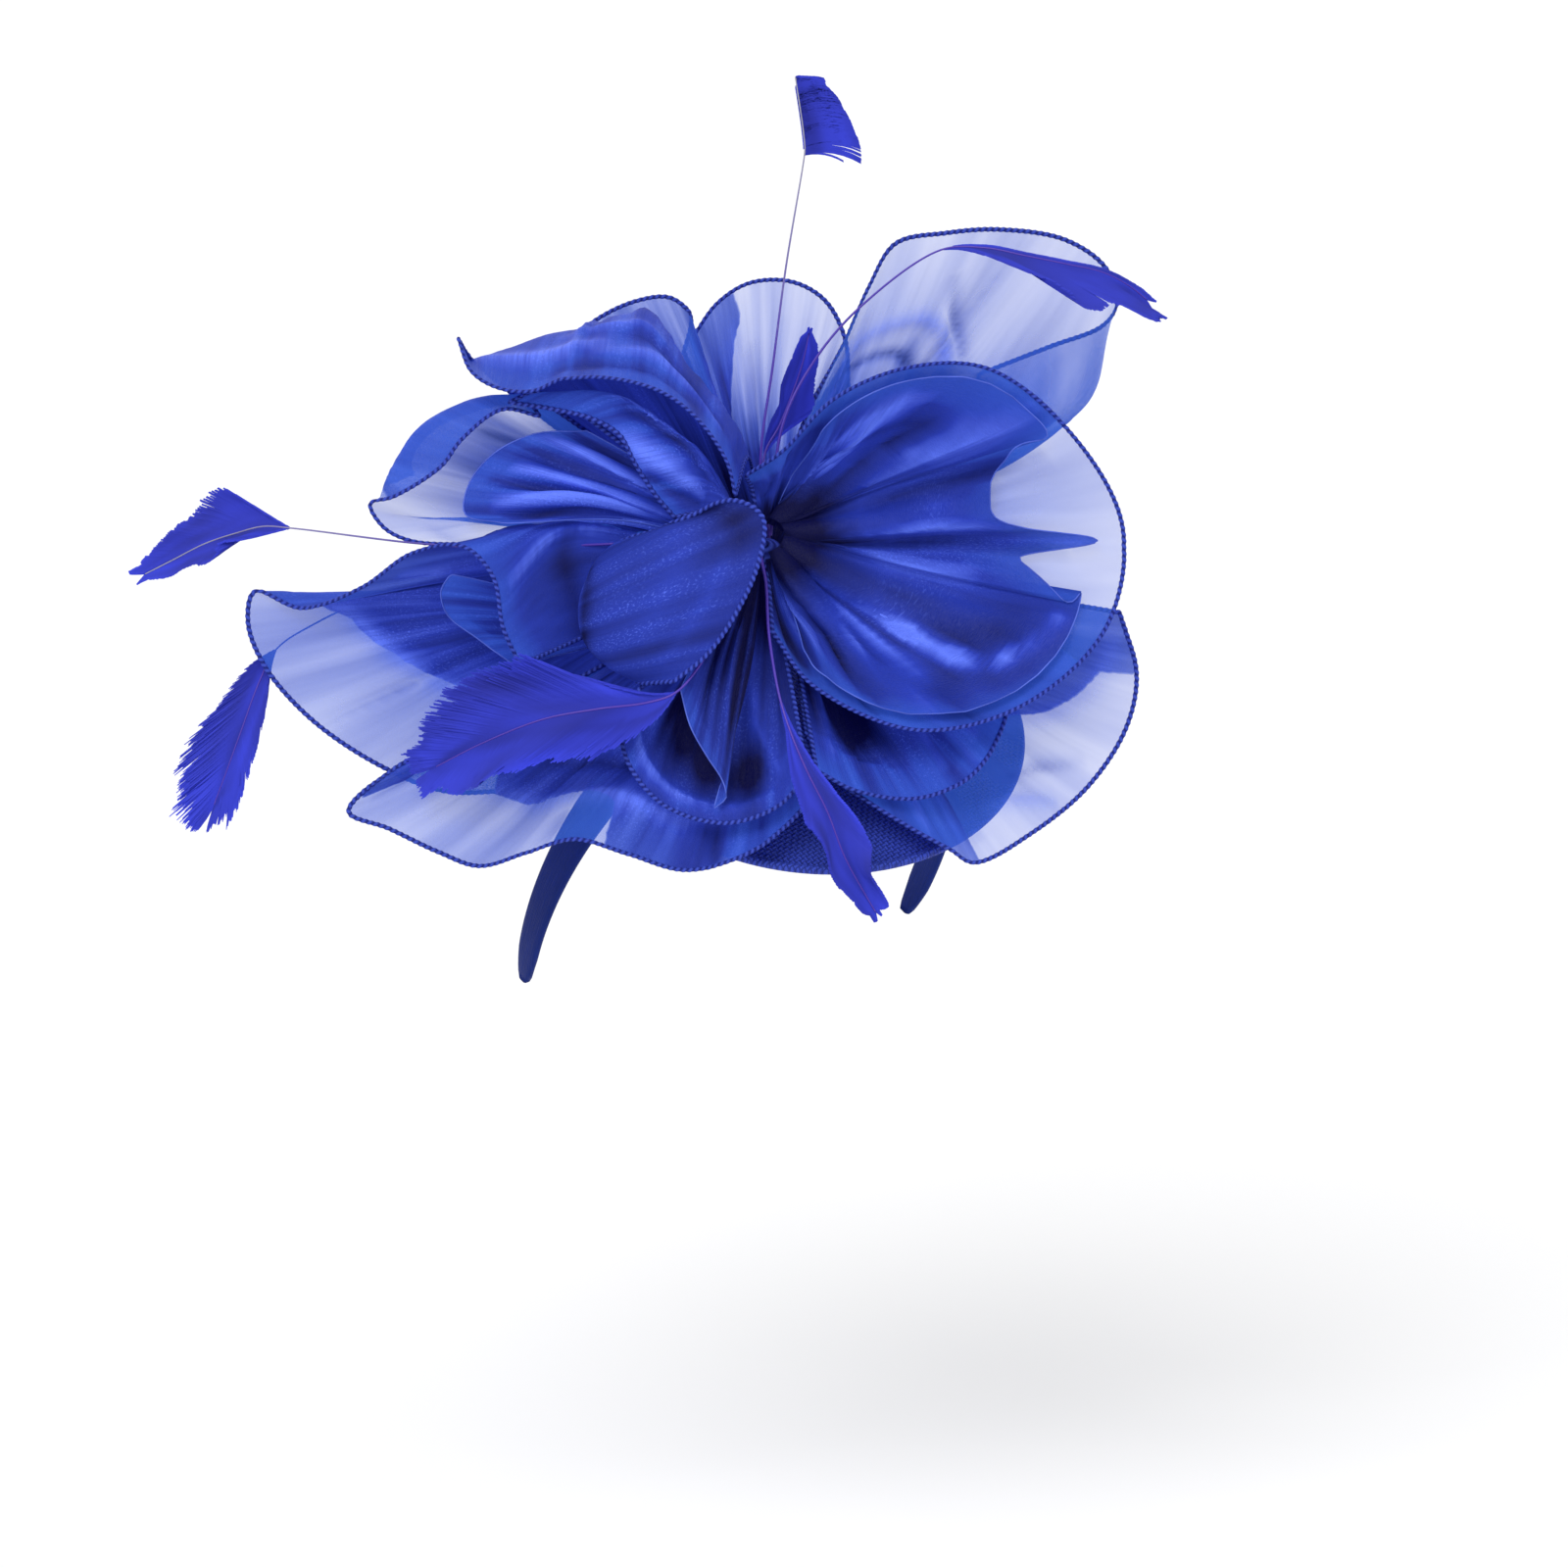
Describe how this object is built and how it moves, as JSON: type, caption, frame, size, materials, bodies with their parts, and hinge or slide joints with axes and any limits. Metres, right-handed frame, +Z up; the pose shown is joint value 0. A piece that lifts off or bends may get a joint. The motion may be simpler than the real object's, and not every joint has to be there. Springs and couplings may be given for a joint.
{
  "type": "fascinator hat",
  "caption": "Headband fascinator: gathered organza petals with serged hems and trimmed feathers, on a round woven base.",
  "frame": {"origin": "inner face of the headband at the crown of the head, on the headband's centre line", "axes": "+X the wearer's left, -Y the wearer's front, +Z up, with the head upright"},
  "size_m": [0.2686, 0.1827, 0.2766],
  "materials": {
    "organza": "sheer royal-blue organza with a soft lustre, darker where layers overlap, dark serged hem",
    "feather": "dyed goose feather, matt violet-blue barbs on a fine quill",
    "base_weave": "woven stiffened fabric, matt blue, with a rolled edge",
    "satin": "satin-covered band, smooth blue with a soft gloss"
  },
  "bodies": {
    "root": {"right_petal": "organza", "right_inner": "organza", "upper_right_petal": "organza", "top_petal": "organza", "top_left_petal": "organza", "upper_left_petal": "organza", "upper_left_inner": "organza", "left_petal": "organza", "left_inner": "organza", "low_left_scroll": "organza", "low_left_inner": "organza", "front_petal": "organza", "bottom_petal": "organza", "swirl_petal": "organza", "swirl_curl": "organza", "lower_petal": "organza", "lower_right_petal": "organza", "back_left_petal": "organza", "back_right_petal": "organza", "upright_feather": "feather", "right_feather": "feather", "short_feather": "feather", "left_feather": "feather", "drooping_feather": "feather", "broad_feather": "feather", "lower_feather": "feather", "flower_core": "organza", "base_disc": "base_weave", "headband": "satin"}
  },
  "joints": []
}
